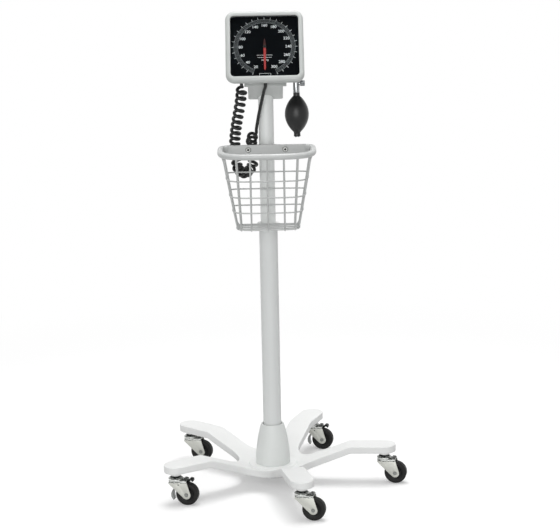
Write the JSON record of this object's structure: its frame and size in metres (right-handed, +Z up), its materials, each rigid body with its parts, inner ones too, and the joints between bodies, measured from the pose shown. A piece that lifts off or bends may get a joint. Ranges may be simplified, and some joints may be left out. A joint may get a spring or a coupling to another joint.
{
  "type": "mobile aneroid sphygmomanometer",
  "caption": "Square dial blood pressure gauge on a pole with a wire basket, squeeze bulb, coiled hose and a rolling star base with braked castors.",
  "frame": {"origin": "on the floor under the pole's axis", "axes": "+Z up along the pole, -Y towards the user who reads the dial, +X to that user's right"},
  "size_m": [0.5424, 0.53, 1.0632],
  "materials": {
    "enamel": "smooth white enamel",
    "cover": "satin light grey plastic",
    "tube": "satin grey powder coat",
    "steel": "zinc plated",
    "wire": "grey coated wire",
    "head": "satin grey plastic",
    "glass": "clear",
    "seal": "matt",
    "face": "matt black print",
    "needle": "red paint",
    "brass": "turned",
    "spring": "blued",
    "hose": "satin",
    "chrome": "polished",
    "fork": "zinc plated",
    "hub": "moulded",
    "tread": "satin"
  },
  "bodies": {
    "stand": {"base_casting": "enamel", "pole_plug": "steel", "pole_bolt": "steel", "hub_cover": "cover", "pole_lower": "tube", "pole_collar": "cover", "pole_upper": "tube", "basket_bracket": "steel", "basket_rim": "wire", "wire_basket": "wire", "basket_screws": "steel", "head_bracket": "head", "bracket_screws": "steel", "rear_case": "head", "case_screws": "steel", "bezel": "head", "lens": "glass", "lens_gasket": "seal", "dial_plate": "face", "movement_frame": "brass", "hairspring": "spring", "bellows": "brass", "manifold": "steel", "hose_ports": "chrome", "straight_hose": "hose", "coil_hose": "hose", "valve_body": "chrome", "bulb": "hose", "bulb_inlet": "chrome", "caster_1_stem": "chrome", "caster_2_stem": "chrome", "caster_3_stem": "chrome", "caster_4_stem": "chrome", "caster_5_stem": "chrome"},
    "pointer": {"pointer": "needle", "pinion": "brass"},
    "sector": {"sector_gear": "brass"},
    "valve_knob": {"valve_screw": "chrome"},
    "caster_1_swivel": {"caster_1_fork": "fork", "caster_1_axle": "chrome"},
    "caster_1_wheel": {"caster_1_hub": "hub", "caster_1_tyre": "tread"},
    "caster_2_swivel": {"caster_2_fork": "fork", "caster_2_axle": "chrome"},
    "caster_2_wheel": {"caster_2_hub": "hub", "caster_2_tyre": "tread"},
    "caster_3_swivel": {"caster_3_fork": "fork", "caster_3_axle": "chrome"},
    "caster_3_wheel": {"caster_3_hub": "hub", "caster_3_tyre": "tread"},
    "caster_4_swivel": {"caster_4_fork": "fork", "caster_4_axle": "chrome"},
    "caster_4_wheel": {"caster_4_hub": "hub", "caster_4_tyre": "tread"},
    "caster_5_swivel": {"caster_5_fork": "fork", "caster_5_axle": "chrome"},
    "caster_5_wheel": {"caster_5_hub": "hub", "caster_5_tyre": "tread"},
    "caster_2_lock": {"caster_2_brake": "hub"},
    "caster_4_lock": {"caster_4_brake": "hub"}
  },
  "joints": [
    {"name": "sector_swing", "type": "hinge", "parent": "stand", "child": "sector", "pos_m": [0, -0.04942, 0.96075], "axis": [0, -0.848, 0.5299], "range_deg": [0, 56.25]},
    {"name": "pointer_spin", "type": "hinge", "parent": "stand", "child": "pointer", "pos_m": [0, -0.03458, 0.98449], "axis": [0, -0.848, 0.5299], "range_deg": [-337.5, 0]},
    {"name": "valve_turn", "type": "hinge", "parent": "stand", "child": "valve_knob", "pos_m": [0.066, -0.05917, 0.91219], "axis": [1, 0, 0], "range_deg": [0, 360]},
    {"name": "caster_1_turn", "type": "hinge", "parent": "stand", "child": "caster_1_swivel", "pos_m": [0.25132, -0.01846, 0.055], "axis": [0, 0, 1], "continuous": true},
    {"name": "caster_1_roll", "type": "hinge", "parent": "caster_1_swivel", "child": "caster_1_wheel", "pos_m": [0.27666, -0.02431, 0.025], "axis": [-0.225, -0.9744, 0], "continuous": true},
    {"name": "caster_2_turn", "type": "hinge", "parent": "stand", "child": "caster_2_swivel", "pos_m": [0.09522, 0.23332, 0.055], "axis": [0, 0, 1], "continuous": true},
    {"name": "caster_2_roll", "type": "hinge", "parent": "caster_2_swivel", "child": "caster_2_wheel", "pos_m": [0.12055, 0.22747, 0.025], "axis": [-0.225, -0.9744, 0], "continuous": true},
    {"name": "caster_2_brake_press", "type": "hinge", "parent": "caster_2_swivel", "child": "caster_2_lock", "pos_m": [0.1035, 0.23141, 0.04749], "axis": [0.225, 0.9744, 0], "range_deg": [0, 6]},
    {"name": "caster_3_turn", "type": "hinge", "parent": "stand", "child": "caster_3_swivel", "pos_m": [-0.19248, 0.16265, 0.055], "axis": [0, 0, 1], "continuous": true},
    {"name": "caster_3_roll", "type": "hinge", "parent": "caster_3_swivel", "child": "caster_3_wheel", "pos_m": [-0.16714, 0.15681, 0.025], "axis": [-0.225, -0.9744, 0], "continuous": true},
    {"name": "caster_4_turn", "type": "hinge", "parent": "stand", "child": "caster_4_swivel", "pos_m": [-0.21417, -0.13279, 0.055], "axis": [0, 0, 1], "continuous": true},
    {"name": "caster_4_roll", "type": "hinge", "parent": "caster_4_swivel", "child": "caster_4_wheel", "pos_m": [-0.18884, -0.13864, 0.025], "axis": [-0.225, -0.9744, 0], "continuous": true},
    {"name": "caster_4_brake_press", "type": "hinge", "parent": "caster_4_swivel", "child": "caster_4_lock", "pos_m": [-0.20589, -0.1347, 0.04749], "axis": [0.225, 0.9744, 0], "range_deg": [0, 6]},
    {"name": "caster_5_turn", "type": "hinge", "parent": "stand", "child": "caster_5_swivel", "pos_m": [0.06011, -0.24473, 0.055], "axis": [0, 0, 1], "continuous": true},
    {"name": "caster_5_roll", "type": "hinge", "parent": "caster_5_swivel", "child": "caster_5_wheel", "pos_m": [0.08544, -0.25057, 0.025], "axis": [-0.225, -0.9744, 0], "continuous": true}
  ],
  "couplings": [
    {"joint": "pointer_spin", "follows": "sector_swing", "ratio": -6}
  ]
}
